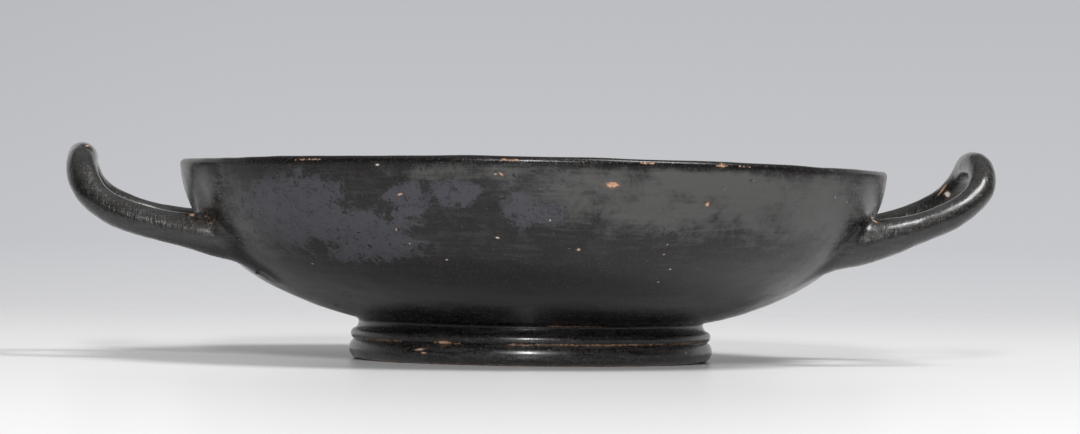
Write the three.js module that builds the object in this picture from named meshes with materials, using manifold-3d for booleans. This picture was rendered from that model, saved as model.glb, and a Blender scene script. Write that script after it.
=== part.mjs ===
// A stemless kylix: a shallow wine cup of black-glazed clay on a low moulded ring foot, with a looped
// handle at each side. It was thrown, luted together and fired as one piece, so it is one solid.
//
// Millimetres, +Z up. The origin is the middle of the underside, where the foot stands, and the handles
// lie along X.

import * as THREE from "three";
import { mergeVertices } from "three/addons/utils/BufferGeometryUtils.js";
import Module from "manifold-3d";

const wasm = await Module();
wasm.setup();

// Driving dimensions.
const rimRadius = 90;
const rimHeight = 49.7;
const rimWall = 3.2; // thickness of the clay below the lip
const floorWall = 4.8; // thickness of the clay in the middle of the floor
const lipOuterRound = 1.3;
const lipInnerRound = 1.1;
const clearOfRim = 5; // how far the cut for the hollow goes past the lip
const neckRadius = 44.2; // where the underside of the bowl meets the foot
const neckHeight = 10.3;
const undersideHeight = 6.2; // middle of the underside, inside the ring foot
const leanAngle = THREE.MathUtils.degToRad(0.33); // the bowl sits a little crooked on its foot
const rimSag = 2.1; // how much lower the rim is at the handles than halfway between them
const sagStart = 18; // height where the sag begins
const turnSteps = 64;

const foot = {
  restInner: 37.4,
  restOuter: 44.2,
  insideTop: 35.4,
  lowerRoll: { radius: 3.0, centre: [43.2, 2.7] },
  upperRoll: { radius: 1.5, centre: [44.3, 6.5] },
  neck: [43.8, 9.6],
  bedTop: 11.4, // how far the ring reaches up into the clay of the bowl
};

// The loops rise outwards and curl up at the tip, each a little differently. The side course is the line
// of the rod seen along Y: distance from the axis, then height, for the four points of a cubic curve.
const handles = [
  {
    side: -1,
    sideCourse: [[66, 24.2], [79.0, 37.1], [114.6, 29.5], [114.6, 50.1]],
    legRadius: 4.05,
    bowRadius: 4.0,
    rootSwell: 0.25,
    rootLength: 9.0,
    farRise: 0.95,
    farTuck: -0.7,
  },
  {
    side: 1,
    sideCourse: [[66, 26.0], [76.1, 31.4], [114.6, 34.8], [112.7, 51.0]],
    legRadius: 3.7,
    bowRadius: 3.5,
    rootSwell: 0.45,
    rootLength: 13.5,
    farRise: -0.2,
    farTuck: 2.8,
  },
];
const loopHalfSpan = 25;
const loopSquareness = 2.5; // 2 is an ellipse, and more gives straighter legs
const rootAt = 16; // where the rod goes through the outside of the wall, from its start
const rodSides = 14;
const rodSteps = 32;

// Joins and cuts.
function solidFrom(geometry) {
  const bare = geometry.clone();
  bare.deleteAttribute("normal");
  bare.deleteAttribute("uv");
  const merged = mergeVertices(bare, 1e-3);
  const corners = [];
  const index = merged.index.array;
  for (let i = 0; i < index.length; i += 3) {
    const [a, b, c] = index.slice(i, i + 3);
    if (a !== b && b !== c && c !== a) corners.push(a, b, c);
  }
  return new wasm.Manifold(
    new wasm.Mesh({
      numProp: 3,
      vertProperties: new Float32Array(merged.attributes.position.array),
      triVerts: new Uint32Array(corners),
    }),
  );
}

function geometryFrom(solid) {
  const { vertProperties, triVerts } = solid.getMesh();
  const geometry = new THREE.BufferGeometry();
  geometry.setAttribute("position", new THREE.BufferAttribute(vertProperties, 3));
  geometry.setIndex(new THREE.BufferAttribute(triVerts, 1));
  geometry.computeVertexNormals();
  return geometry;
}

// The handles pulled the rim down a little at their sides while the clay was soft, and the bowl was set a
// little crooked on its foot.
function settle(geometry) {
  const position = geometry.getAttribute("position");
  for (let i = 0; i < position.count; i++) {
    const [x, y, z] = [position.getX(i), position.getY(i), position.getZ(i)];
    const height = THREE.MathUtils.smoothstep(z, sagStart, rimHeight);
    const front = (y * y) / Math.max(1, x * x + y * y);
    position.setZ(i, z + rimSag * height * front);
  }
  return geometry.translate(0, 0, -neckHeight).rotateY(leanAngle).translate(0, 0, neckHeight);
}

// Turned shapes. Each path goes up the outside, so that the surface faces outwards. The counts say into
// how many steps each curve of the path is divided, and a line needs only one.
function turned(path, counts) {
  const points = path.curves.flatMap((curve, i) => curve.getPoints(counts[i] ?? 1));
  return new THREE.LatheGeometry(points, turnSteps).rotateX(Math.PI / 2);
}

function outerWall() {
  const path = new THREE.Path();
  const neckSlope = 0.21;
  const tangentMeet = neckRadius - (neckHeight - undersideHeight) / neckSlope;
  path.moveTo(0, undersideHeight);
  path.quadraticCurveTo(tangentMeet, undersideHeight, neckRadius, neckHeight);
  path.bezierCurveTo(73.7, 16.5, 89.0, 33.1, rimRadius, rimHeight - lipOuterRound);
  return path;
}

function bowlSolid() {
  const path = outerWall();
  const lip = rimRadius - lipOuterRound;
  path.absarc(lip, rimHeight - lipOuterRound, lipOuterRound, 0, Math.PI / 2, false);
  path.lineTo(0, rimHeight);
  return solidFrom(settle(turned(path, [4, 11, 3])));
}

// The hollow follows the outer wall at the thickness of the clay, which thins evenly towards the rim.
function hollowSolid() {
  const outer = outerWall();
  const steps = 14;
  const points = [new THREE.Vector2(0, undersideHeight + floorWall)];
  for (let i = 1; i < steps; i++) {
    const along = i / steps;
    const at = outer.getPointAt(along);
    const run = outer.getTangentAt(along);
    const wall = THREE.MathUtils.lerp(floorWall, rimWall, along);
    points.push(new THREE.Vector2(at.x - run.y * wall, at.y + run.x * wall));
  }
  const mouth = rimRadius - rimWall;
  points.push(new THREE.Vector2(mouth, rimHeight - lipInnerRound));
  const lip = new THREE.Path(points);
  lip.absarc(mouth + lipInnerRound, rimHeight - lipInnerRound, lipInnerRound, Math.PI, Math.PI / 2, true);
  lip.lineTo(mouth + lipInnerRound, rimHeight + clearOfRim);
  lip.lineTo(0, rimHeight + clearOfRim);
  return solidFrom(settle(turned(lip, [...points.slice(1).map(() => 1), 3])));
}

// The foot has two rolls with a groove between them, a hollow neck above and a flat resting ring.
function footSolid() {
  const { lowerRoll, upperRoll, neck } = foot;
  const path = new THREE.Path();
  const lowerStart = -Math.asin(lowerRoll.centre[1] / lowerRoll.radius);
  path.moveTo(foot.restInner, 0);
  path.lineTo(foot.restOuter, 0);
  path.absarc(...lowerRoll.centre, lowerRoll.radius, lowerStart, 0.93, false);
  path.absarc(...upperRoll.centre, upperRoll.radius, -1.2, 0.9, false);
  path.quadraticCurveTo(neck[0] + 0.1, neck[1] - 1.6, neck[0], neck[1]);
  path.lineTo(neck[0] + 0.2, foot.bedTop);
  path.lineTo(foot.insideTop - 1.5, foot.bedTop);
  path.lineTo(foot.insideTop, 6.5);
  path.lineTo(foot.restInner, 0);
  return solidFrom(turned(path, [1, 1, 5, 1, 4, 1, 3]));
}

// Looped handles. A place on the loop is how far along the side course it is, from 0 inside the wall to 1
// at the tip, and how far across it is, from -1 on the near leg to 1 on the far leg.
function rodCourse({ side, sideCourse, farRise, farTuck }) {
  const sideCurve = new THREE.CubicBezierCurve(...sideCourse.map((p) => new THREE.Vector2(...p)));
  const count = 40;
  const points = [];
  for (let i = 0; i <= count; i++) {
    const turn = (Math.PI * i) / count;
    const along = Math.min(1, Math.sin(turn) ** (2 / loopSquareness));
    const across = -Math.sign(Math.cos(turn)) * Math.abs(Math.cos(turn)) ** (2 / loopSquareness);
    const at = sideCurve.getPointAt(along);
    const out = at.x - farTuck * across * along;
    const up = at.y + farRise * across * along;
    points.push(new THREE.Vector3(side * out, loopHalfSpan * across, up));
  }
  return new THREE.CatmullRomCurve3(points);
}

// Gives the rod its thickness, which swells at the wall and changes a little towards the bow.
function shapeRod(geometry, course, { legRadius, bowRadius, rootSwell, rootLength }) {
  const count = 300;
  const places = course.getSpacedPoints(count);
  const halfLength = course.getLength() / 2;
  const position = geometry.getAttribute("position");
  const point = new THREE.Vector3();
  for (let i = 0; i < position.count; i++) {
    point.fromBufferAttribute(position, i);
    const gaps = places.map((place) => place.distanceToSquared(point));
    const nearest = gaps.indexOf(Math.min(...gaps));
    const toBow = 1 - Math.abs((2 * nearest) / count - 1);
    const root = Math.exp(-(((toBow * halfLength - rootAt) / rootLength) ** 2));
    const radius = THREE.MathUtils.lerp(legRadius, bowRadius, toBow ** 4) * (1 + rootSwell * root);
    point.sub(places[nearest]).multiplyScalar(radius).add(places[nearest]);
    position.setXYZ(i, point.x, point.y, point.z);
  }
}

function handleSolid(spec) {
  const course = rodCourse(spec);
  const section = new THREE.Shape();
  section.absarc(0, 0, 1, 0, 2 * Math.PI, false);
  const geometry = new THREE.ExtrudeGeometry(section, {
    steps: rodSteps,
    curveSegments: rodSides / 2,
    extrudePath: course,
  });
  shapeRod(geometry, course, spec);
  return solidFrom(geometry);
}

function kylixGeometry() {
  let clay = bowlSolid();
  for (const spec of handles) clay = clay.add(handleSolid(spec));
  return geometryFrom(clay.subtract(hollowSolid()).add(footSolid()));
}

const kylixCup = new THREE.Group();
const blackGlaze = new THREE.MeshStandardMaterial({ color: 0x2b2b2d, roughness: 0.42, metalness: 0 });
const kylix = new THREE.Mesh(kylixGeometry(), blackGlaze);
kylix.name = "kylix";
kylixCup.add(kylix);

export default kylixCup;
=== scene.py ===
# A stemless kylix: a black-glazed clay drinking cup on a moulded ring foot, with a looped handle each side.
import math
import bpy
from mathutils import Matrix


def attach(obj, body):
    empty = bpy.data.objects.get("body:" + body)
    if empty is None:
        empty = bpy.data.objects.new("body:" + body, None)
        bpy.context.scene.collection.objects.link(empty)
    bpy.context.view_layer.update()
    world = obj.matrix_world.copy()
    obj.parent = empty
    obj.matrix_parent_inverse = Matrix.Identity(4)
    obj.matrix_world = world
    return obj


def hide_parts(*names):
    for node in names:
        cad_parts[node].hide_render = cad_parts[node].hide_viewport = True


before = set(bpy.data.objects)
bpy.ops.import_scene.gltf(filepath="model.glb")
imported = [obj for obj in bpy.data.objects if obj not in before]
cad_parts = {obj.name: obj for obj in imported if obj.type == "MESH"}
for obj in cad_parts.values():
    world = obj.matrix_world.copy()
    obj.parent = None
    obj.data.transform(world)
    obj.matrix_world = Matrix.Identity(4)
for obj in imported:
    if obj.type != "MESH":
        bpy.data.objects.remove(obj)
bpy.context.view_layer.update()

from types import SimpleNamespace

import bmesh
import bpy
import numpy as np
from mathutils import Matrix, Vector

mm = 0.001  # the shapes are worked out in millimetres and become metres when a mesh is made


bowl = {
    "rimRadius": 90.0,
    "rimHeight": 49.7,
    "rimWall": 3.2,  # thickness of the clay below the lip
    "floorWall": 4.8,  # and in the middle of the floor
    "lipOuterRound": 1.3,
    "lipInnerRound": 1.1,
    "lipReach": 6.0,  # how far below the rim the inside goes over to the lip
    "neckRadius": 44.2,  # where the underside meets the foot
    "neckHeight": 10.3,
    "neckSlope": 0.21,
    "undersideHeight": 6.2,
    "wallPull": [(73.7, 16.5), (89.0, 33.1)],  # the two inner control points of the wall's curve
    "leanDegrees": 0.33,  # the bowl sits a little crooked on its foot
    "rimSag": 2.1,  # how much lower the rim is at the handles than between them
    "sagStart": 18.0,
    "steps": 420,
}

foot = {
    "insideCorner": (34.85, 8.55),  # where the hollow under the cup meets the ring
    "cornerRound": 1.6,
    "insideWall": [(35.45, 6.9), (36.3, 3.7), (37.15, 0.7)],
    "restInner": 37.4,
    "restOuter": 44.2,
    "restFlat": (38.0, 43.7),  # the flat of the resting ring, between its rounded edges
    "lowerRoll": {"centre": (43.2, 2.7), "radius": 3.0, "span": (-54, 50)},  # span in degrees
    "upperRoll": {"centre": (44.3, 6.5), "radius": 1.5, "span": (-52, 50)},
    "groove": (44.75, 5.08),
    "neck": (43.8, 9.6),
}

# The side course is the line of the rod seen along Y: distance from the axis, then height, for the four
# points of a cubic curve.
handles = [
    {
        "side": -1,
        "sideCourse": [(66, 24.2), (79.0, 37.1), (114.6, 29.5), (114.6, 50.1)],
        "legRadius": 4.05,
        "bowRadius": 4.0,
        "rootSwell": 0.25,
        "rootLength": 9.0,
        "farRise": 0.95,
        "farTuck": -0.7,
    },
    {
        "side": 1,
        "sideCourse": [(66, 26.0), (76.1, 31.4), (114.6, 34.8), (112.7, 51.0)],
        "legRadius": 3.7,
        "bowRadius": 3.5,
        "rootSwell": 0.45,
        "rootLength": 13.5,
        "farRise": -0.2,
        "farTuck": 2.8,
    },
]

loop = {
    "halfSpan": 25.0,
    "squareness": 2.5,  # 2 is an ellipse, and more gives straighter legs
    "rootAt": 16.0,  # where the rod goes through the outside of the wall, from its start
    "bedding": 1.5,  # how deep the rods reach into the clay of the wall
    "fillet": 3.2,
    "evenings": 8,
    "steps": 170,
    "sides": 32,
}


def bezier(points, count):
    # A point is the mean of the control points, with binomial weights that shift from the first to the last.
    t = np.linspace(0, 1, count)[:, None]
    order = len(points) - 1
    weights = [math.comb(order, i) * t**i * (1 - t) ** (order - i) for i in range(order + 1)]
    return sum(weight * np.array(point, float) for weight, point in zip(weights, points))


def arc(centre, radius, first, last, count):
    # Points at evenly spaced angles, in degrees, round the centre.
    a = np.radians(np.linspace(first, last, count))
    return np.array(centre) + radius * np.stack([np.cos(a), np.sin(a)], 1)


def lengthAlong(path):
    # The length of the path up to each of its points.
    steps = np.linalg.norm(np.diff(path, axis=0), axis=1)
    return np.concatenate([[0], np.cumsum(steps)])


def evenly(path, count):
    # The same path with its points evenly spaced by length.
    length = lengthAlong(path)
    wanted = np.linspace(0, length[-1], count)
    return np.stack([np.interp(wanted, length, line) for line in path.T], 1)


def direction(path):
    # The way the path runs at each of its points, with length 1.
    run = np.gradient(path, axis=0)
    return run / np.linalg.norm(run, axis=1, keepdims=True)


def smooth(low, high, value):
    # 0 below low and 1 above high, with an S-shaped rise between them.
    t = np.clip((value - low) / (high - low), 0, 1)
    return t * t * (3 - 2 * t)


def outerWall():
    # The underside runs out level and then rises to the neck, and the wall goes on from there to the lip.
    meet = bowl["neckRadius"] - (bowl["neckHeight"] - bowl["undersideHeight"]) / bowl["neckSlope"]
    neck = (bowl["neckRadius"], bowl["neckHeight"])
    top = (bowl["rimRadius"], bowl["rimHeight"] - bowl["lipOuterRound"])
    underside = bezier([(0, bowl["undersideHeight"]), (meet, bowl["undersideHeight"]), neck], 200)
    return underside, bezier([neck, *bowl["wallPull"], top], 600)


def hollowWall(count):
    # The outer wall moved inwards by the thickness of the clay, which thins evenly towards the rim.
    path = evenly(np.vstack([outerWall()[0], outerWall()[1][1:]]), 800)
    run = direction(path)
    along = np.linspace(0, 1, len(path))[:, None]
    wall = bowl["floorWall"] + (bowl["rimWall"] - bowl["floorWall"]) * along
    inner = path + wall * np.stack([-run[:, 1], run[:, 0]], 1)
    inner = inner[inner[:, 1] < bowl["rimHeight"] - bowl["lipReach"]]
    inner[0, 0] = 0  # on the axis
    mouth = (bowl["rimRadius"] - bowl["rimWall"], bowl["rimHeight"] - bowl["lipInnerRound"])
    return evenly(np.vstack([inner, mouth]), count)


def profile():
    # The whole outline from the middle of the underside, round the foot, up the wall, over the lip and down
    # the inside to the middle of the floor.
    underside, wall = outerWall()
    corner, insideWall, neck = foot["insideCorner"], foot["insideWall"], foot["neck"]
    underside = underside[underside[:, 0] < corner[0] - foot["cornerRound"]]
    wall = evenly(wall[8:], 64)
    flatStart, flatEnd = ((radius, 0) for radius in foot["restFlat"])
    lower, upper = foot["lowerRoll"], foot["upperRoll"]
    lowerRoll = arc(lower["centre"], lower["radius"], *lower["span"], 14)
    upperRoll = arc(upper["centre"], upper["radius"], *upper["span"], 9)
    outRound, inRound = bowl["lipOuterRound"], bowl["lipInnerRound"]
    outLip = (bowl["rimRadius"] - outRound, bowl["rimHeight"] - outRound)
    inLip = (bowl["rimRadius"] - bowl["rimWall"] + inRound, bowl["rimHeight"] - inRound)
    pieces = [
        evenly(underside, 12),
        bezier([underside[-1], corner, insideWall[0]], 6),
        bezier(insideWall, 6),
        bezier([insideWall[-1], (foot["restInner"], 0), flatStart], 4),
        bezier([flatStart, flatEnd], 5),
        bezier([flatEnd, (foot["restOuter"] + 0.3, 0), lowerRoll[0]], 4),
        lowerRoll,
        bezier([lowerRoll[-1], foot["groove"], upperRoll[0]], 6),
        upperRoll,
        bezier([upperRoll[-1], (neck[0] + 0.1, neck[1] - 1.6), neck], 7),
        bezier([neck, (neck[0] + 0.05, neck[1] + 0.65), wall[0]], 4),
        wall,
        arc(outLip, outRound, 0, 90, 8),
        arc(inLip, inRound, 90, 180, 7),
        hollowWall(38)[::-1],
    ]
    return np.vstack([pieces[0]] + [piece[1:] for piece in pieces[1:]])


def ringFaces(rings, steps):
    # Rows of quads join the rings. Fans of triangles close the two ends on two more points, which come
    # after all the rings.
    index = np.arange(rings * steps).reshape(rings, steps)
    onward = np.roll(index, -1, 1)
    quads = np.stack([index[:-1], onward[:-1], onward[1:], index[1:]], 2).reshape(-1, 4)
    first, last = np.full(steps, rings * steps), np.full(steps, rings * steps + 1)
    start = np.stack([first, onward[0], index[0]], 1)
    end = np.stack([index[-1], onward[-1], last], 1)
    return quads.tolist() + start.tolist() + end.tolist()


def turned(rows, steps):
    # Each point of the outline goes round the axis in a ring, and the two ends close on the axis.
    angle = np.linspace(0, 2 * math.pi, steps, endpoint=False)
    rings = rows[1:-1]
    x = rings[:, :1] * np.sin(angle)
    y = -rings[:, :1] * np.cos(angle)
    z = np.repeat(rings[:, 1:], steps, 1)
    points = np.stack([x, y, z], 2).reshape(-1, 3)
    ends = [[0, 0, rows[0, 1]], [0, 0, rows[-1, 1]]]
    return np.vstack([points, ends]), ringFaces(len(rings), steps)


def sagShare(x, y, height):
    # The rim is highest where it is furthest from the handles, and the sag fades out down the wall.
    return smooth(bowl["sagStart"], bowl["rimHeight"], height) * y**2 / np.maximum(1, x**2 + y**2)


def leanAt(height):
    # The lean starts at the neck, so the foot stands level.
    return math.radians(bowl["leanDegrees"]) * smooth(8.6, 11.0, height)


def settled(points):
    # The soft clay sagged a little towards the handles, and the bowl leans over on its neck.
    x, y, z = points.T
    z = z + bowl["rimSag"] * sagShare(x, y, z)
    lean = leanAt(z)
    return np.stack([x + lean * (z - bowl["neckHeight"]), y, z - lean * x], 1)


def unsettled(points):
    # Undoes settled, so that a place on the cup can be looked up on the turned outline.
    x, y, z = points.T
    lean = leanAt(z)
    flat = z + lean * x
    x = x - lean * (flat - bowl["neckHeight"])
    height = flat
    for _ in range(4):
        height = flat - bowl["rimSag"] * sagShare(x, y, height)
    return np.stack([x, y, height], 1)


def rodCourse(spec):
    # Turn goes from one root over the bow to the other. The place along the side course is a power of the
    # turn's sine, and the place across is the same power of its cosine, as on a superellipse.
    turn = np.linspace(0, math.pi, 1601)
    power = 2 / loop["squareness"]
    along = np.clip(np.sin(turn), 0, 1) ** power
    across = -np.sign(np.cos(turn)) * np.abs(np.cos(turn)) ** power
    side = evenly(bezier(spec["sideCourse"], 800), 801)
    place = np.linspace(0, 1, len(side))
    out, up, runX, runZ = (np.interp(along, place, line) for line in (*side.T, *direction(side).T))
    x = spec["side"] * (out - spec["farTuck"] * across * along)
    z = up + spec["farRise"] * across * along
    outward = np.stack([-spec["side"] * runZ, np.zeros_like(turn), runX], 1)  # square to the loop's sheet
    return np.stack([x, loop["halfSpan"] * across, z], 1), outward


def rodThickness(spec, toBow, halfLength):
    # The rod thins evenly towards the bow and swells like a bell curve where it goes into the wall.
    root = np.exp(-(((toBow * halfLength - loop["rootAt"]) / spec["rootLength"]) ** 2))
    thin = spec["legRadius"] + (spec["bowRadius"] - spec["legRadius"]) * toBow**4
    return thin * (1 + spec["rootSwell"] * root)


def rodLine(spec, count):
    # The course evenly spaced by length, with its thickness and the direction square to the loop's sheet.
    course, outward = rodCourse(spec)
    length = lengthAlong(course)
    wanted = np.linspace(0, length[-1], count)
    both = np.stack([np.interp(wanted, length, line) for line in (*course.T, *outward.T)], 1)
    toBow = 1 - np.abs(np.linspace(-1, 1, count))
    return both[:, :3], both[:, 3:], rodThickness(spec, toBow, length[-1] / 2)


def wallGap(points):
    # Distance to the outer wall, less than 0 inside it, and the direction away from it.
    plain = unsettled(points)
    line = np.vstack([outerWall()[0][::4], outerWall()[1][1::2]])
    run = direction(line)
    away = np.stack([run[:, 1], -run[:, 0]], 1)
    radius = np.hypot(plain[:, 0], plain[:, 1])
    flat = np.stack([radius, plain[:, 2]], 1)
    nearest = ((flat[:, None] - line[None]) ** 2).sum(2).argmin(1)
    gap = ((flat - line[nearest]) * away[nearest]).sum(1)
    level = away[nearest, 0] / np.maximum(radius, 1)
    return gap, np.stack([plain[:, 0] * level, plain[:, 1] * level, away[nearest, 1]], 1)


def rodGap(points, rod):
    # Distance to the rod's surface, less than 0 inside it, and the direction away from its middle line.
    line, _, thickness = rod
    nearest = ((points[:, None] - line[None]) ** 2).sum(2).argmin(1)
    away = points - line[nearest]
    distance = np.maximum(np.linalg.norm(away, axis=1), 1e-6)
    return distance - thickness[nearest], away / distance[:, None]


def rodSurface(spec):
    # A ring of the rod's thickness is carried along its course. Each line of the surface starts and ends
    # where it goes into the clay of the wall.
    line, outward, thickness = rodLine(spec, 1200)
    run = direction(line)
    flat = outward - (outward * run).sum(1, keepdims=True) * run
    flat /= np.linalg.norm(flat, axis=1, keepdims=True)
    beside = np.cross(run, flat)
    angle = np.linspace(0, 2 * math.pi, loop["sides"], endpoint=False)
    ring = np.cos(angle)[None, :, None] * flat[:, None] + np.sin(angle)[None, :, None] * beside[:, None]
    fine = line[:, None] + thickness[:, None, None] * ring
    gap = wallGap(fine.reshape(-1, 3))[0].reshape(len(line), -1)
    outside = gap > -loop["bedding"]
    first = outside.argmax(0)
    last = len(line) - 1 - outside[::-1].argmax(0)
    place = first + (last - first) * np.linspace(0, 1, loop["steps"])[:, None]
    low = np.floor(place).astype(int).clip(0, len(line) - 2)
    part = (place - low)[:, :, None]
    column = np.arange(loop["sides"])
    points = fine[low, column] * (1 - part) + fine[low + 1, column] * part
    ends = [points[0].mean(0), points[-1].mean(0)]
    return np.vstack([points.reshape(-1, 3), *ends]), ringFaces(loop["steps"], loop["sides"])


def meshObject(name, points, faces):
    # Makes an object whose faces point outwards: if its volume is less than 0 they are turned round.
    mesh = bpy.data.meshes.new(name)
    mesh.from_pydata((points * mm).tolist(), [], faces)
    made = bmesh.new()
    made.from_mesh(mesh)
    if made.calc_volume(signed=True) < 0:
        bmesh.ops.reverse_faces(made, faces=made.faces)
    made.to_mesh(mesh)
    made.free()
    piece = bpy.data.objects.new(name, mesh)
    bpy.context.scene.collection.objects.link(piece)
    return piece


def joinClay(piece, other):
    # Unites two closed solids into one and removes the second.
    union = piece.modifiers.new("join", "BOOLEAN")
    union.operation = "UNION"
    union.solver = "EXACT"
    union.object = other
    graph = bpy.context.evaluated_depsgraph_get()
    mesh = bpy.data.meshes.new_from_object(piece.evaluated_get(graph))
    piece.modifiers.clear()
    piece.data = mesh
    bpy.data.objects.remove(other)


def pointsOf(mesh):
    flat = np.zeros(len(mesh.vertices) * 3)
    mesh.vertices.foreach_get("co", flat)
    return flat.reshape(-1, 3) / mm


def normalsOf(mesh):
    flat = np.zeros(len(mesh.vertices) * 3)
    mesh.vertices.foreach_get("normal", flat)
    return flat.reshape(-1, 3)


def placePoints(mesh, points):
    mesh.vertices.foreach_set("co", (points * mm).ravel())
    mesh.update()


def evenedOut(points, near, edges, strength):
    # Each near point moves towards the mean of its neighbours.
    total = np.zeros((len(points), 3))
    count = np.zeros(len(points))
    for a, b in ((0, 1), (1, 0)):
        np.add.at(total, edges[:, a], points[edges[:, b]])
        np.add.at(count, edges[:, a], 1)
    mean = total[near] / np.maximum(count[near], 1)[:, None]
    return points[near] + strength[:, None] * (mean - points[near])


def filletRoots(mesh, rods):
    # Near a root the surface becomes the place where a smooth minimum of the distances to the wall and to
    # the rod is zero. The points slide there along its slope, and are evened out between slides.
    points = pointsOf(mesh)
    reach = loop["fillet"]
    ends = np.zeros(len(mesh.edges) * 2, int)
    mesh.edges.foreach_get("vertices", ends)
    ends = ends.reshape(-1, 2)
    for rod in rods:
        side = np.sign(rod[0][0, 0])
        near = np.flatnonzero((points[:, 0] * side > 62) & (np.abs(points[:, 1]) < 42))
        fromWall, _ = wallGap(points[near])
        fromRod, _ = rodGap(points[near], rod)
        active = (np.abs(fromWall - fromRod) < reach * 1.4) & (fromWall > -1)
        near = near[active]
        level = np.minimum(fromWall, fromRod)[active]
        chosen = np.zeros(len(points), bool)
        chosen[near] = True
        edges = ends[chosen[ends].any(1)]
        for time in range(loop["evenings"]):
            for _ in range(2):
                moving = points[near]
                wall, wallAway = wallGap(moving)
                clay, clayAway = rodGap(moving, rod)
                share = np.clip(0.5 + 0.5 * (clay - wall) / reach, 0, 1)
                value = share * wall + (1 - share) * clay - reach * share * (1 - share)
                slope = share[:, None] * wallAway + (1 - share[:, None]) * clayAway
                size = np.maximum((slope**2).sum(1), 0.25)
                points[near] = moving - slope * ((value - level) / size)[:, None]
            if time < loop["evenings"] - 1:
                strength = 0.5 * np.clip(1.4 - np.abs(wall - clay) / reach, 0, 1)
                points[near] = evenedOut(points, near, edges, strength)
    placePoints(mesh, points)


def ripple(points, length, seed):
    # A sum of nine sine waves of about one wavelength, in random directions and phases: mostly -1 to 1.
    dice = np.random.default_rng(seed)
    ways = dice.normal(size=(9, 3))
    ways /= np.linalg.norm(ways, axis=1, keepdims=True)
    ways *= 2 * math.pi / length * dice.uniform(0.7, 1.4, (9, 1))
    return np.sin(points @ ways.T + dice.uniform(0, 2 * math.pi, 9)).sum(1) / 4


# Marks in the glaze. A place is the angle round from the front and the height, or a point on a handle.
# The size is half the width and half the height, and pale is 0 for orange clay and 1 for a whitish chip.
marks = [
    {"place": (10.5, 45.6), "size": (1.6, 0.72), "turn": 0, "depth": 0.22, "pale": 0.0},
    {"place": (26.6, 41.1), "size": (0.6, 0.55), "turn": 20, "depth": 0.2, "pale": 0.1},
    {"place": (-6.9, 47.0), "size": (0.75, 0.26), "turn": -38, "depth": 0.15, "pale": 0.1},
    {"place": (-7.9, 47.5), "size": (0.35, 0.2), "turn": 0, "depth": 0.1, "pale": 0.3},
    {"place": (-23.0, 42.4), "size": (0.9, 0.24), "turn": 14, "depth": 0.12, "pale": 0.2},
    {"place": (6.2, 29.2), "size": (0.45, 0.45), "turn": 0, "depth": 0.15, "pale": 0.3},
    {"place": (-7.5, 32.4), "size": (0.6, 0.24), "turn": -10, "depth": 0.08, "pale": 0.8},
    {"place": (0.6, 36.4), "size": (0.26, 0.24), "turn": 0, "depth": 0.06, "pale": 0.9},
    {"place": (-17.3, 26.8), "size": (0.3, 0.25), "turn": 0, "depth": 0.06, "pale": 0.6},
    {"place": (-22.9, 30.3), "size": (0.28, 0.2), "turn": 0, "depth": 0.06, "pale": 0.8},
    {"place": (-47.4, 24.5), "size": (0.4, 0.2), "turn": 0, "depth": 0.06, "pale": 0.8},
    {"place": (-24.6, 33.6), "size": (0.22, 0.36), "turn": 0, "depth": 0.06, "pale": 0.6},
    {"place": (23.9, 25.1), "size": (0.45, 0.22), "turn": 0, "depth": 0.08, "pale": 0.7},
    {"place": (21.7, 30.9), "size": (0.22, 0.22), "turn": 0, "depth": 0.05, "pale": 0.5},
    {"place": (21.9, 28.9), "size": (0.24, 0.24), "turn": 0, "depth": 0.05, "pale": 0.4},
    {"place": (22.9, 22.0), "size": (0.35, 0.2), "turn": 0, "depth": 0.05, "pale": 0.8},
    {"place": (55.0, 42.6), "size": (0.24, 0.24), "turn": 0, "depth": 0.05, "pale": 0.7},
    {"place": (59.6, 42.1), "size": (0.24, 0.34), "turn": 0, "depth": 0.06, "pale": 0.1},
    {"place": (-26.4, 49.2), "size": (0.55, 0.26), "turn": 0, "depth": 0.1, "pale": 0.9},
    {"place": (28.3, 50.3), "size": (0.6, 0.45), "turn": 0, "depth": 0.5, "pale": 0.1},
    {"place": (-29.8, 5.6), "size": (1.9, 0.5), "turn": 0, "depth": 0.2, "pale": 0.15},
    {"place": (-38.6, 3.5), "size": (1.4, 0.26), "turn": 6, "depth": 0.1, "pale": 0.2},
    {"place": (-36.6, 2.7), "size": (0.8, 0.2), "turn": -4, "depth": 0.08, "pale": 0.0},
    {"place": (55.7, 3.2), "size": (0.5, 0.28), "turn": -20, "depth": 0.15, "pale": 0.1},
    {"point": (-113.2, -5.5, 53.2), "size": (0.8, 0.3), "turn": 0, "depth": 0.12, "pale": 0.3},
    {"point": (-85.6, -27.0, 38.0), "size": (0.8, 1.0), "turn": 0, "depth": 0.15, "pale": 0.2},
    {"point": (83.9, -24.5, 37.6), "size": (2.6, 0.22), "turn": 52, "depth": 0.3, "pale": 0.3},
    {"point": (107.1, 12.4, 43.8), "size": (1.0, 0.8), "turn": 0, "depth": 0.1, "pale": 1.0},
    {"point": (104.9, 12.6, 45.2), "size": (2.2, 0.34), "turn": 50, "depth": 0.1, "pale": 0.1},
]

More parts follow.
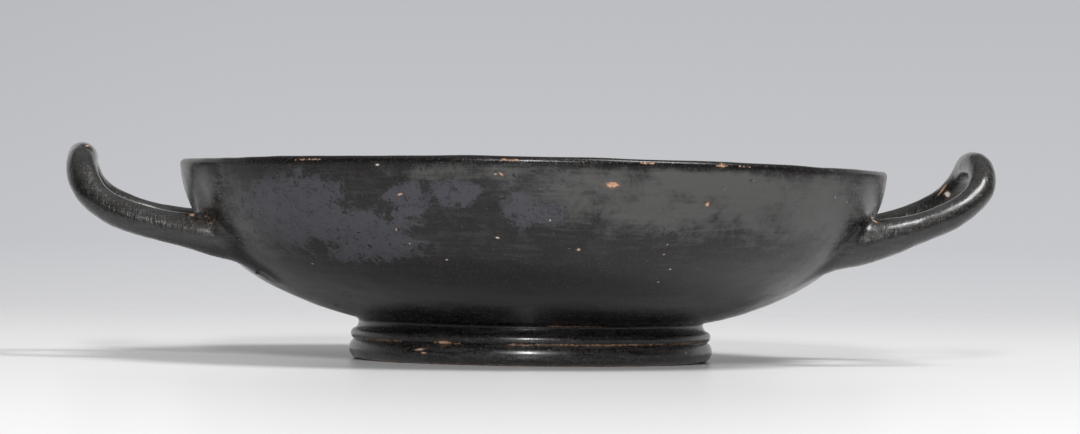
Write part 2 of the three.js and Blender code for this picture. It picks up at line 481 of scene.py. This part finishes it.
# Edges where the glaze is worn off: the height and half height of the edge, the radii between which it lies,
# and its stretches. A stretch is the first angle, the last angle and how worn it is.
wear = [
    {  # the lip
        "height": 48.75,
        "tall": 0.3,
        "radius": (89.0, 92.0),
        "spans": [
            (-42.5, -36.5, 0.8),
            (-7.6, -3.2, 0.9),
            (14.6, 17.2, 1.0),
            (27.2, 29.4, 0.9),
            (31.0, 34.5, 0.7),
        ],
    },
    {  # the top of the lower roll
        "height": 5.4,
        "tall": 0.28,
        "radius": (44.6, 60.0),
        "spans": [(-70, -46, 1.0), (-34, -24, 1.0), (-9, 64, 0.95), (64, 250, 0.7)],
    },
    {  # the neck
        "height": 10.0,
        "tall": 0.22,
        "radius": (0.0, 46.0),
        "spans": [(3, 24, 0.8), (120, 170, 0.6)],
    },
]

# Patches of the glaze: angle, height, half width in degrees, half height, and strength. Some of them are
# painted light or shade, as marked below.
patches = {
    "dull": [
        (-44, 36.5, 13, 8.5, 1.0),
        (-30, 32.5, 9, 6.0, 0.9),
        (-22.5, 39.4, 4.2, 3.6, 1.0),
        (-13.6, 41.2, 4.2, 3.2, 1.0),
        (-3, 38.0, 8, 6.0, 0.55),
        (-36, 29.5, 14, 5.0, 0.6),
        (112, 36, 14, 7, 0.8),
        (165, 33, 19, 8, 0.9),
        (214, 38, 11, 6, 0.8),
        (246, 30, 12, 6, 0.7),
    ],
    "dark": [
        (-4, 21.5, 26, 6.0, 1.0),
        (-28.6, 38.2, 5.0, 4.2, 0.9),
        (-14.0, 35.0, 5.5, 3.4, 1.0),
        (20.5, 29.8, 6.2, 4.2, 0.9),
        # Painted dark reflection: the wall just below the rim, which would mirror the dark room in front, is
        # made darker.
        (-8, 46.8, 14, 2.2, 0.7),
        (-52, 27, 7, 5, 0.5),
        (95, 24, 16, 5, 0.8),
        (186, 25, 24, 6, 0.9),
        (232, 42, 9, 4, 0.7),
    ],
    # Lighter patches: partly the glaze's own paler tone and partly a painted sheen, a brighter colour where
    # a soft light from the right would be reflected on the upper wall.
    "haze": [
        (11, 41, 14, 7, 0.9),
        (20, 39.0, 9, 7, 0.8),
        (-12, 46, 12, 2.6, 0.6),
        (26, 44.5, 14, 4, 1.0),
        (-58, 36, 9, 9, 0.7),
        (45, 40, 26, 8, 0.9),
        (140, 42, 16, 5, 0.8),
        (205, 30, 14, 7, 0.6),
    ],
}

# Unevenness left by the maker's hands: height, wavelength and seed of each ripple, in millimetres.
handWork = {
    "wall": [(0.11, 34, 1), (0.03, 9, 2)],
    "handle": [(0.16, 15, 5), (0.05, 4.5, 6)],
    "base": [(0.035, 12, 7)],
    "throwing": 0.012,  # height of the fine level rings
    "paring": 0.2,  # how much the handles are pared down all over
}

roughRoot = {"point": (-84.5, -27.5, 37.0), "reach": 6.5}  # the glaze is spoiled where a handle was luted on


def angleGap(angle, centre):
    # Degrees from the centre, from -180 to 180.
    return (angle - centre + 180) % 360 - 180


def angleOf(points):
    # Degrees round the axis from the front, less than 0 towards the left handle.
    return np.degrees(np.arctan2(points[:, 0], -points[:, 1]))


def markFrame(mark, points, normals):
    # The middle of a mark on the outside of the clay, with the directions across it, up it and out of it.
    if "point" in mark:
        nearest = ((points - mark["point"]) ** 2).sum(1).argmin()
    else:
        angle, height = mark["place"]
        radius = np.hypot(points[:, 0], points[:, 1])
        outside = (normals[:, :2] * points[:, :2]).sum(1) > 0.05 * radius
        across = np.radians(angleGap(angleOf(points), angle)) * radius
        gap = across**2 + (points[:, 2] - height) ** 2 + np.where(outside & (radius > 40), 0, 1e6)
        nearest = gap.argmin()
    out = normals[nearest]
    across = np.cross([0, 0, 1], out)
    across /= max(np.linalg.norm(across), 1e-6)
    up = np.cross(out, across)
    turn = math.radians(mark["turn"])
    turned = across * math.cos(turn) + up * math.sin(turn)
    return points[nearest], turned, np.cross(out, turned), out


def markField(place, mark, points):
    # 1 in the middle of the mark, 0 on its outline and less than 0 outside: one less the length of the
    # scaled place in the mark's own directions, with an exponent that points its ends a little.
    centre, across, up, out = place
    away = points - centre
    wide, tall = mark["size"]
    u = np.abs(away @ across) / wide
    v = np.abs(away @ up) / tall
    deep = np.abs(away @ out) > 2.5
    return np.where(deep, -1, 1 - (u**1.6 + v**1.6) ** (1 / 1.6)).clip(-1, 1)


def refineMarks(mesh, places):
    # The faces at each mark are divided more finely.
    points = pointsOf(mesh)
    close = np.zeros(len(points), bool)
    for place, mark in zip(places, marks):
        reach = max(mark["size"]) + 0.5
        close |= ((points - place[0]) ** 2).sum(1) < reach**2
    made = bmesh.new()
    made.from_mesh(mesh)
    made.verts.ensure_lookup_table()
    faces = {face for i in np.flatnonzero(close) for face in made.verts[i].link_faces}
    edges = {edge for face in faces for edge in face.edges}
    bmesh.ops.subdivide_edges(made, edges=list(edges), cuts=3, use_grid_fill=True)
    wide = [face for face in made.faces if len(face.verts) > 4]
    bmesh.ops.triangulate(made, faces=wide)
    made.to_mesh(mesh)
    made.free()


def spanShare(angle, spans):
    # How worn an edge is at each angle: each stretch fades in and out over less than two degrees.
    share = np.zeros(len(angle))
    for first, last, strength in spans:
        half = (last - first) / 2
        away = np.abs(angleGap(angle, (first + last) / 2))
        share = np.maximum(share, strength * smooth(half + 0.8, half - 0.8, away))
    return share


def patchField(points, listed):
    # 1 in the middle of a patch and 0 or less outside, the highest of all patches.
    angle = angleOf(points)
    field = np.zeros(len(points))
    for centre, height, wide, tall, strength in listed:
        gap = np.hypot(angleGap(angle, centre) / wide, (points[:, 2] - height) / tall)
        field = np.maximum(field, strength * np.clip(1.5 - gap, 0, 1))
    return field


def handUnevenness(points, height, shares):
    # Ripples on each part of the clay, and level rings on the wall that are two sine waves of the height.
    rings = np.sin(height * 2.9 + 1.5 * np.sin(height * 0.61)) + 0.6 * np.sin(height * 7.3)
    uneven = handWork["throwing"] * shares["wall"] * rings - handWork["paring"] * shares["handle"]
    for name, share in shares.items():
        for high, length, seed in handWork[name]:
            uneven = uneven + share * high * ripple(points, length, seed)
    return uneven * smooth(0.0, 2.0, height)  # the resting face stays flat


def markRelief(points, places):
    # How deep the marks are at each point, how far inside a mark it is, and how pale that mark is.
    sunk = np.zeros(len(points))
    bare = np.full(len(points), -1.0)
    pale = np.zeros(len(points))
    for place, mark in zip(places, marks):
        field = markField(place, mark, points)
        sunk += mark["depth"] * smooth(0.0, 0.45, field)
        pale = np.where(field > bare, mark["pale"], pale)
        bare = np.maximum(bare, field)
    return sunk, bare, pale


def wornEdges(angle, height, radius, outside):
    # Each edge is a bell curve of the height, times how worn it is at each angle. The resting face is bare.
    worn = smooth(0.5, 0.05, height)
    for edge in wear:
        low, high = edge["radius"]
        near = np.exp(-(((height - edge["height"]) / edge["tall"]) ** 2)) * (radius > low) * (radius < high)
        worn = np.maximum(worn, near * outside * spanShare(angle, edge["spans"]))
    return worn


def handleShare(points, rods):
    # 0 on the wall and 1 on a handle, going over from one to the other just outside the wall.
    share = np.zeros(len(points))
    for rod in rods:
        near = np.flatnonzero((np.abs(points[:, 0]) > 62) & (points[:, 0] * rod[0][0, 0] > 0))
        fromWall, _ = wallGap(points[near])
        share[near] = smooth(0.3, 3.0, fromWall)
    return share


def saveFields(mesh, fields):
    for name, values in fields.items():
        mesh.attributes.new(name, "FLOAT", "POINT").data.foreach_set("value", values.astype(np.float32))


def finishClay(mesh, rods):
    # The hand-made unevenness, the marks and the worn edges, and the fields that the glaze is painted by.
    points, normals = pointsOf(mesh), normalsOf(mesh)
    places = [markFrame(mark, points, normals) for mark in marks]
    refineMarks(mesh, places)
    points, normals = pointsOf(mesh), normalsOf(mesh)
    plain = unsettled(points)
    height = plain[:, 2]
    radius = np.hypot(plain[:, 0], plain[:, 1])
    outside = (normals[:, :2] * plain[:, :2]).sum(1) > 0.02 * radius
    handle = handleShare(points, rods)
    base = smooth(11.5, 8.0, height) * smooth(36, 39, radius)
    wall = (1 - handle) * (1 - base)

    uneven = handUnevenness(points, height, {"wall": wall, "handle": handle, "base": base})
    sunk, bare, pale = markRelief(points, places)
    placePoints(mesh, points + normals * (uneven - sunk)[:, None])

    angle = angleOf(points)
    toHandle = 90 - np.abs(90 - np.abs(angle))  # 0 at the front and back, 90 at the handles
    below = smooth(48.4, 46.6, height)  # no patches on the lip or just below it
    fromRoot = np.linalg.norm(points - roughRoot["point"], axis=1)
    fields = {name: patchField(plain, listed) * outside * wall * below for name, listed in patches.items()}
    fields |= {"bare": bare, "pale": pale, "worn": wornEdges(angle, height, radius, outside)}
    # The upper wall: its glaze is rougher, and only there do the grey streaks show, which leaves the lower
    # bowl darker as painted shade.
    fields |= {"handle": handle, "base": base, "upper": smooth(20, 33, height) * below}
    fields |= {"rough": np.clip(1.2 - fromRoot / roughRoot["reach"], 0, 1)}
    fields |= {"side": outside * wall * smooth(54, 72, toHandle)}
    saveFields(mesh, fields)


def shapeKylix():
    # The turned bowl and foot, joined with both rods, and then finished.
    points, faces = turned(profile(), bowl["steps"])
    kylix = meshObject("kylixCup", settled(points), faces)
    rods = [rodLine(spec, 400) for spec in handles]
    (left, leftFaces), (right, rightFaces) = [rodSurface(spec) for spec in handles]
    rodFaces = leftFaces + [[i + len(left) for i in face] for face in rightFaces]
    joinClay(kylix, meshObject("rods", np.vstack([left, right]), rodFaces))
    print("kylix: handles joined,", len(kylix.data.polygons), "faces")
    filletRoots(kylix.data, rods)
    print("kylix: roots rounded")
    finishClay(kylix.data, rods)
    kylix.data.shade_smooth()
    triangles = sum(len(face.vertices) - 2 for face in kylix.data.polygons)
    print("kylix: surface finished,", triangles, "triangles")
    return kylix


class Value:
    # A number in a material. Arithmetic on it adds Math nodes.
    def __init__(self, paint, socket):
        self.paint, self.socket = paint, socket

    def math(self, operation, first, second):
        return self.paint.node("ShaderNodeMath", {"operation": operation}, {0: first, 1: second})

    def __add__(self, other):
        return self.math("ADD", self, other)

    def __radd__(self, other):
        return self.math("ADD", other, self)

    def __sub__(self, other):
        return self.math("SUBTRACT", self, other)

    def __rsub__(self, other):
        return self.math("SUBTRACT", other, self)

    def __mul__(self, other):
        return self.math("MULTIPLY", self, other)

    def __rmul__(self, other):
        return self.math("MULTIPLY", other, self)


class Paint:
    # A material or world under construction.
    def __init__(self, made):
        made.use_nodes = True
        self.tree = made.node_tree
        self.tree.nodes.clear()

    def node(self, kind, settings=None, inputs=None, output=0):
        # Adds a node, with its settings first and then the values or links of its sockets.
        made = self.tree.nodes.new(kind)
        for name, value in (settings or {}).items():
            if name == "stops":
                self.placeStops(made.color_ramp, value)
            else:
                setattr(made, name, value)
        for name, value in (inputs or {}).items():
            socket = self.socket(made.inputs, name)
            if isinstance(value, Value):
                self.tree.links.new(value.socket, socket)
            else:
                socket.default_value = value
        if not made.outputs:
            return made
        return Value(self, self.socket(made.outputs, output))

    def socket(self, sockets, name):
        # Found by its place, its identifier or its name.
        if isinstance(name, int):
            return sockets[name]
        return next((s for s in sockets if s.identifier == name), None) or sockets[name]

    def placeStops(self, ramp, stops):
        while len(ramp.elements) < len(stops):
            ramp.elements.new(0.5)
        for element, (place, colour) in zip(ramp.elements, stops):
            element.position = place
            element.color = (*colour, 1)

    def field(self, name):
        return self.node("ShaderNodeAttribute", {"attribute_name": name}, output="Fac")

    def rise(self, value, low, high):
        settings = {"interpolation_type": "SMOOTHSTEP"}
        return self.node("ShaderNodeMapRange", settings, {"Value": value, "From Min": low, "From Max": high})

    def noise(self, place, scale, detail=3.0, rough=0.55, twist=0.0):
        inputs = {"Vector": place, "Scale": scale, "Detail": detail, "Roughness": rough, "Distortion": twist}
        return self.node("ShaderNodeTexNoise", None, inputs)

    def stretched(self, place, scale):
        return self.node("ShaderNodeVectorMath", {"operation": "MULTIPLY"}, {0: place, 1: scale})

    def mix(self, share, first, second):
        inputs = {"Factor_Float": share, "A_Color": first, "B_Color": second}
        return self.node("ShaderNodeMix", {"data_type": "RGBA"}, inputs, "Result_Color")

    def most(self, first, second):
        return self.node("ShaderNodeMath", {"operation": "MAXIMUM"}, {0: first, 1: second})


glazeLook = {
    "black": (0.0065, 0.0065, 0.0070, 1),
    "grey": (0.024, 0.024, 0.024, 1),
    "haze": (0.074, 0.0745, 0.0725, 1),
    "dull": (0.048, 0.049, 0.060, 1),
    "olive": (0.0135, 0.0132, 0.0125, 1),
    "deep": (0.0045, 0.0045, 0.0048, 1),
    "clay": (0.40, 0.20, 0.115, 1),
    "paleClay": (0.50, 0.31, 0.21, 1),
    "pale": (0.52, 0.47, 0.42, 1),
    "earth": (0.15, 0.095, 0.055, 1),
    "wallRoughness": 0.30,
    "lowRoughness": 0.21,
    "dullRoughness": 0.16,
    "sideRoughness": 0.15,
    "footRoughness": 0.27,
    "specular": 0.30,
    "footCoat": 0.45,
    "handleCoat": 0.70,
    "coatRoughness": 0.20,
}


def glazeParts(paint):
    # What the colour, roughness and relief share: the fields of the clay, noises of several sizes around 0,
    # and how much there is of each kind of spot, from 0 to 1.
    glaze = SimpleNamespace()
    for name in ("bare", "pale", "worn", "handle", "base", "side", "rough", "upper"):
        setattr(glaze, name, paint.field(name))
    place = paint.node("ShaderNodeTexCoord", output="Object")
    glaze.place = place = paint.stretched(place, (1000, 1000, 1000))  # millimetres
    level = paint.stretched(place, (0.10, 0.10, 1.0))  # drawn out round the cup
    glaze.broad = broad = paint.noise(place, 0.10, 10, 0.66, 0.5) - 0.5
    glaze.cloud = cloud = paint.noise(place, 0.34, 9, 0.72, 0.4) - 0.5
    glaze.speck = speck = paint.noise(place, 1.3, 5, 0.70) - 0.5
    glaze.grain = grain = paint.noise(place, 3.4, 3, 0.6) - 0.5
    glaze.streak = streak = paint.noise(level, 1.1, 5, 0.62) - 0.5
    glaze.scratch = paint.noise(level, 4.2, 3, 0.6) - 0.5

    darkField = paint.field("dark")
    glaze.dull = paint.rise(paint.field("dull") + 2.2 * broad + 1.6 * cloud + 0.9 * speck, 0.42, 0.56)
    glaze.haze = paint.rise(paint.field("haze") + 1.8 * broad + 1.3 * cloud + 0.7 * streak, 0.12, 0.95)
    glaze.dark = paint.rise(darkField * 0.62 + 1.6 * cloud + 1.6 * broad + 0.8 * speck, 0.50, 0.66)
    glaze.pits = paint.rise(1.3 * speck + 1.1 * cloud, 0.075, 0.16)
    glaze.mottled = paint.most(0.8 * glaze.dull, paint.rise(darkField, 0.1, 0.5))
    ragged = 1.1 * grain + 1.2 * speck
    glaze.halo = paint.rise(glaze.bare + 2.0 * ragged, -1.0, 0.1)  # stained glaze round a chip
    glaze.chip = paint.rise(glaze.bare + ragged, 0.02, 0.16)
    glaze.edge = paint.rise(glaze.worn * (1.0 + 2.6 * speck + 1.6 * grain + 2.4 * streak), 0.52, 0.70)
    glaze.spoiled = paint.rise(glaze.rough * (1.0 + 3.0 * speck + 2.0 * cloud), 0.40, 0.62)
    glaze.matt = paint.most(paint.most(glaze.chip, glaze.edge), 0.5 * glaze.halo)
    return glaze


def glazeColour(paint, glaze):
    # Black glaze with grey streaks, and over it the patches, which include painted sheen and painted shade,
    # the stains, the bare clay and the dust.
    look = glazeLook
    # Painted shade: the grey streaks show only on the upper wall, so the lower bowl stays darker, as if it
    # reflected the shaded floor beneath it.
    colour = paint.mix(
        glaze.upper * paint.rise(glaze.broad + glaze.streak, -0.10, 0.22), look["black"], look["grey"]
    )
    # Painted sheen: the lighter patches stand in partly for a soft light's reflection on the wall.
    colour = paint.mix(0.8 * glaze.haze, colour, look["haze"])
    colour = paint.mix(0.85 * glaze.dull, colour, look["dull"])
    colour = paint.mix(0.75 * glaze.pits * glaze.mottled, colour, look["deep"])
    # The darker patches are mottling in the glaze, except the band just below the rim, which is a painted
    # dark reflection.
    colour = paint.mix(0.85 * glaze.dark, colour, look["deep"])
    onHandle = 0.7 * glaze.handle * paint.rise(glaze.cloud, -0.12, 0.10)
    colour = paint.mix(onHandle, colour, look["olive"])
    onFoot = 0.9 * glaze.base * paint.rise(glaze.streak + glaze.speck, -0.12, 0.12)
    colour = paint.mix(onFoot, colour, look["grey"])

    colour = paint.mix(0.4 * glaze.halo, colour, look["earth"])
    spoiled = paint.mix(paint.rise(glaze.speck, 0.02, 0.14), look["deep"], look["earth"])
    colour = paint.mix(0.7 * glaze.spoiled, colour, spoiled)
    clay = paint.mix(paint.rise(glaze.grain, -0.15, 0.15), look["clay"], look["paleClay"])
    dirty = paint.mix(paint.rise(glaze.speck, -0.05, 0.12), look["earth"], clay)
    colour = paint.mix(glaze.edge, colour, dirty)
    colour = paint.mix(glaze.chip, colour, paint.mix(glaze.pale, clay, look["pale"]))
    dust = paint.rise(paint.noise(glaze.place, 1.5, 2, 0.5), 0.765, 0.80)
    return paint.mix(0.45 * dust, colour, look["pale"])


def glazeRoughness(glaze):
    # The glaze is glossier low down and beside the handles, and duller on the patches and where it is bare.
    look = glazeLook
    rough = look["lowRoughness"] + (look["wallRoughness"] - look["lowRoughness"]) * glaze.upper
    rough = rough + look["dullRoughness"] * glaze.dull + 0.06 * glaze.haze - 0.05 * glaze.dark
    rough = rough + 0.2 * glaze.cloud + 0.2 * glaze.streak + 0.45 * glaze.matt
    rough = rough + (look["sideRoughness"] - look["wallRoughness"]) * glaze.side * glaze.upper
    return rough + (look["footRoughness"] - look["lowRoughness"]) * glaze.base


def glazeRelief(paint, glaze):
    # The height of the surface in millimetres: fine grain, more of it on the handles, pits and sunk chips.
    across = paint.noise(paint.stretched(glaze.place, (1.0, 0.2, 0.25)), 1.5, 3, 0.6) - 0.5
    lumps = paint.noise(glaze.place, 0.5, 3, 0.6) - 0.5
    height = 0.020 * glaze.grain + 0.040 * glaze.speck + 0.030 * glaze.streak + 0.012 * glaze.scratch
    height = height + glaze.handle * (0.26 * across + 0.22 * lumps)
    height = height + glaze.base * (0.02 * glaze.streak + 0.01 * glaze.scratch)
    return height - 0.03 * glaze.dull * glaze.pits - 0.08 * glaze.matt + 0.5 * glaze.rough * glaze.speck


def glazeMaterial():
    material = bpy.data.materials.new("blackGlaze")
    paint = Paint(material)
    glaze = glazeParts(paint)
    relief = {"Height": glazeRelief(paint, glaze), "Strength": 1.0, "Distance": mm}
    coat = paint.most(glazeLook["footCoat"] * glaze.base, glazeLook["handleCoat"] * glaze.handle)
    inputs = {
        "Base Color": glazeColour(paint, glaze),
        "Roughness": glazeRoughness(glaze),
        "Specular IOR Level": glazeLook["specular"],
        "Coat Weight": coat * (1.0 - glaze.matt),
        "Coat Roughness": glazeLook["coatRoughness"],
        "Normal": paint.node("ShaderNodeBump", None, relief),
    }
    shader = paint.node("ShaderNodeBsdfPrincipled", None, inputs)
    paint.node("ShaderNodeOutputMaterial", None, {"Surface": shader})
    return material


kylix = shapeKylix()
kylix.data.materials.clear()
kylix.data.materials.append(glazeMaterial())
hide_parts("kylix")
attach(kylix, "root")
print("kylix: glazed")


view = {
    "azimuth": -2.0,  # degrees, and less than 0 is towards the left handle
    "distance": 1.4,
    "height": 0.05,
    "aimAcross": 0.002,
    "aimHeight": 0.0365,
    "roll": 0.75,  # degrees
    "lens": 183.13,
    "sensor": 36.0,
}


def placeCamera():
    # The camera stands level with the rim, a little towards the left handle, and is rolled slightly.
    turn = math.radians(view["azimuth"])
    across = Vector((math.cos(turn), math.sin(turn), 0))
    back = Vector((math.sin(turn), -math.cos(turn), 0))
    middle = across * view["aimAcross"]
    target = middle + Vector((0, 0, view["aimHeight"]))
    place = middle + back * view["distance"] + Vector((0, 0, view["height"]))
    ahead = (target - place).normalized()
    right = ahead.cross(Vector((0, 0, 1))).normalized()
    up = right.cross(ahead)
    roll = math.radians(view["roll"])
    tilted = right * math.cos(roll) + up * math.sin(roll)
    axes = Matrix((tilted, -ahead.cross(tilted), -ahead)).transposed()
    camera = bpy.data.objects.new("camera", bpy.data.cameras.new("camera"))
    camera.data.lens = view["lens"]
    camera.data.sensor_width = view["sensor"]
    camera.matrix_world = Matrix.Translation(place) @ axes.to_4x4()
    bpy.context.scene.collection.objects.link(camera)
    bpy.context.scene.camera = camera


# Soft lights: angle round from the front, angle up, distance, width and height in metres, power in watts.
lights = {
    "front": (-4, 24, 2.2, 0.24, 0.50, 40.0),
    "frontRight": (58, 60, 2.2, 0.80, 0.80, 42.0),
}


def placeLights():
    for name, (angle, rise, distance, wide, tall, power) in lights.items():
        a, e = math.radians(angle), math.radians(rise)
        back = Vector((math.sin(a) * math.cos(e), -math.cos(a) * math.cos(e), math.sin(e)))
        light = bpy.data.lights.new(name, "AREA")
        light.shape = "RECTANGLE"
        light.size, light.size_y = wide, tall
        light.energy = power
        lamp = bpy.data.objects.new(name, light)
        lamp.location = Vector((0, 0, 0.03)) + back * distance
        lamp.rotation_euler = back.to_track_quat("Z", "Y").to_euler()
        bpy.context.scene.collection.objects.link(lamp)


room = {
    "floorTone": (0.73, 0.73, 0.74),
    "backLow": (0.57, 0.575, 0.60),
    "backHigh": (0.50, 0.505, 0.525),
    "backStart": -0.036,  # how far below the horizon the backdrop starts, as the sine of the angle
    "backScale": 14.0,  # how quickly its tone changes with height
    "shade": (0.2, 0.2, 0.21, 1),  # a little darker at the left
    "behind": 0.60,  # how bright the room is behind the cup, for what the glaze reflects
    "above": 0.4,
    "front": 0.02,
    "below": 0.55,
}


def makeWorld():
    # The backdrop that is seen fades from the floor's tone, low down, to a darker grey above. What the glaze
    # reflects is bright behind the cup, above and below, and dark in front.
    world = bpy.data.worlds.new("studio")
    paint = Paint(world)
    way = paint.node("ShaderNodeTexCoord", output="Generated")
    x, y, z = (paint.node("ShaderNodeSeparateXYZ", None, {"Vector": way}, i) for i in range(3))
    stops = [(0.0, room["floorTone"]), (0.30, room["backLow"]), (1.0, room["backHigh"])]
    height = (z - room["backStart"]) * room["backScale"]
    seen = paint.node("ShaderNodeValToRGB", {"stops": stops}, {"Fac": height}, "Color")
    seen = paint.mix(0.12 * paint.rise(x, 0.0, -0.12), seen, room["shade"])
    behind = room["behind"] * paint.rise(z, 0.6, 0.3) * paint.rise(y, 0.0, 0.75)
    glow = paint.most(behind, room["below"] * paint.rise(z, -0.08, -0.3))
    glow = paint.most(glow, room["above"] * paint.rise(z, 0.5, 0.85))
    glow = paint.mix(paint.most(glow, room["front"]), (0, 0, 0, 1), (1, 1, 1, 1))
    looked = paint.node("ShaderNodeLightPath", output="Is Camera Ray")
    tone = paint.mix(looked, glow, seen)
    shade = paint.node("ShaderNodeBackground", None, {"Color": tone, "Strength": 1.0})
    paint.node("ShaderNodeOutputWorld", None, {"Surface": shade})
    bpy.context.scene.world = world


sheet = {
    "half": 1.2,
    "tone": (0.75, 0.75, 0.76, 1),
    "roughness": 0.3,
    "specular": 0.3,
    "fadeBack": (0.10, 0.62),  # from here to there the sheet fades into the backdrop
    "fadeFront": (-0.40, -0.44),
    "fadeSides": (0.45, 0.9),
}


def makeFloor():
    # A pale sheet whose far edges fade into the backdrop.
    half = sheet["half"]
    mesh = bpy.data.meshes.new("floor")
    corners = [(-half, -half, 0), (half, -half, 0), (half, half, 0), (-half, half, 0)]
    mesh.from_pydata(corners, [], [(0, 1, 2, 3)])
    floor = bpy.data.objects.new("floor", mesh)
    bpy.context.scene.collection.objects.link(floor)
    material = bpy.data.materials.new("paleSheet")
    paint = Paint(material)
    place = paint.node("ShaderNodeTexCoord", output="Object")
    x, y = (paint.node("ShaderNodeSeparateXYZ", None, {"Vector": place}, i) for i in range(2))
    sideways = paint.node("ShaderNodeMath", {"operation": "ABSOLUTE"}, {0: x})
    fade = paint.most(paint.rise(y, *sheet["fadeBack"]), paint.rise(y, *sheet["fadeFront"]))
    fade = paint.most(fade, paint.rise(sideways, *sheet["fadeSides"]))
    inputs = {"Base Color": sheet["tone"], "Roughness": sheet["roughness"]}
    inputs |= {"Specular IOR Level": sheet["specular"]}
    pale = paint.node("ShaderNodeBsdfPrincipled", None, inputs)
    clear = paint.node("ShaderNodeBsdfTransparent")
    both = paint.node("ShaderNodeMixShader", None, {0: fade, 1: pale, 2: clear})
    paint.node("ShaderNodeOutputMaterial", None, {"Surface": both})
    mesh.materials.append(material)


placeCamera()
placeLights()
makeWorld()
makeFloor()
bpy.context.scene.view_settings.view_transform = "Standard"
print("studio: ready")
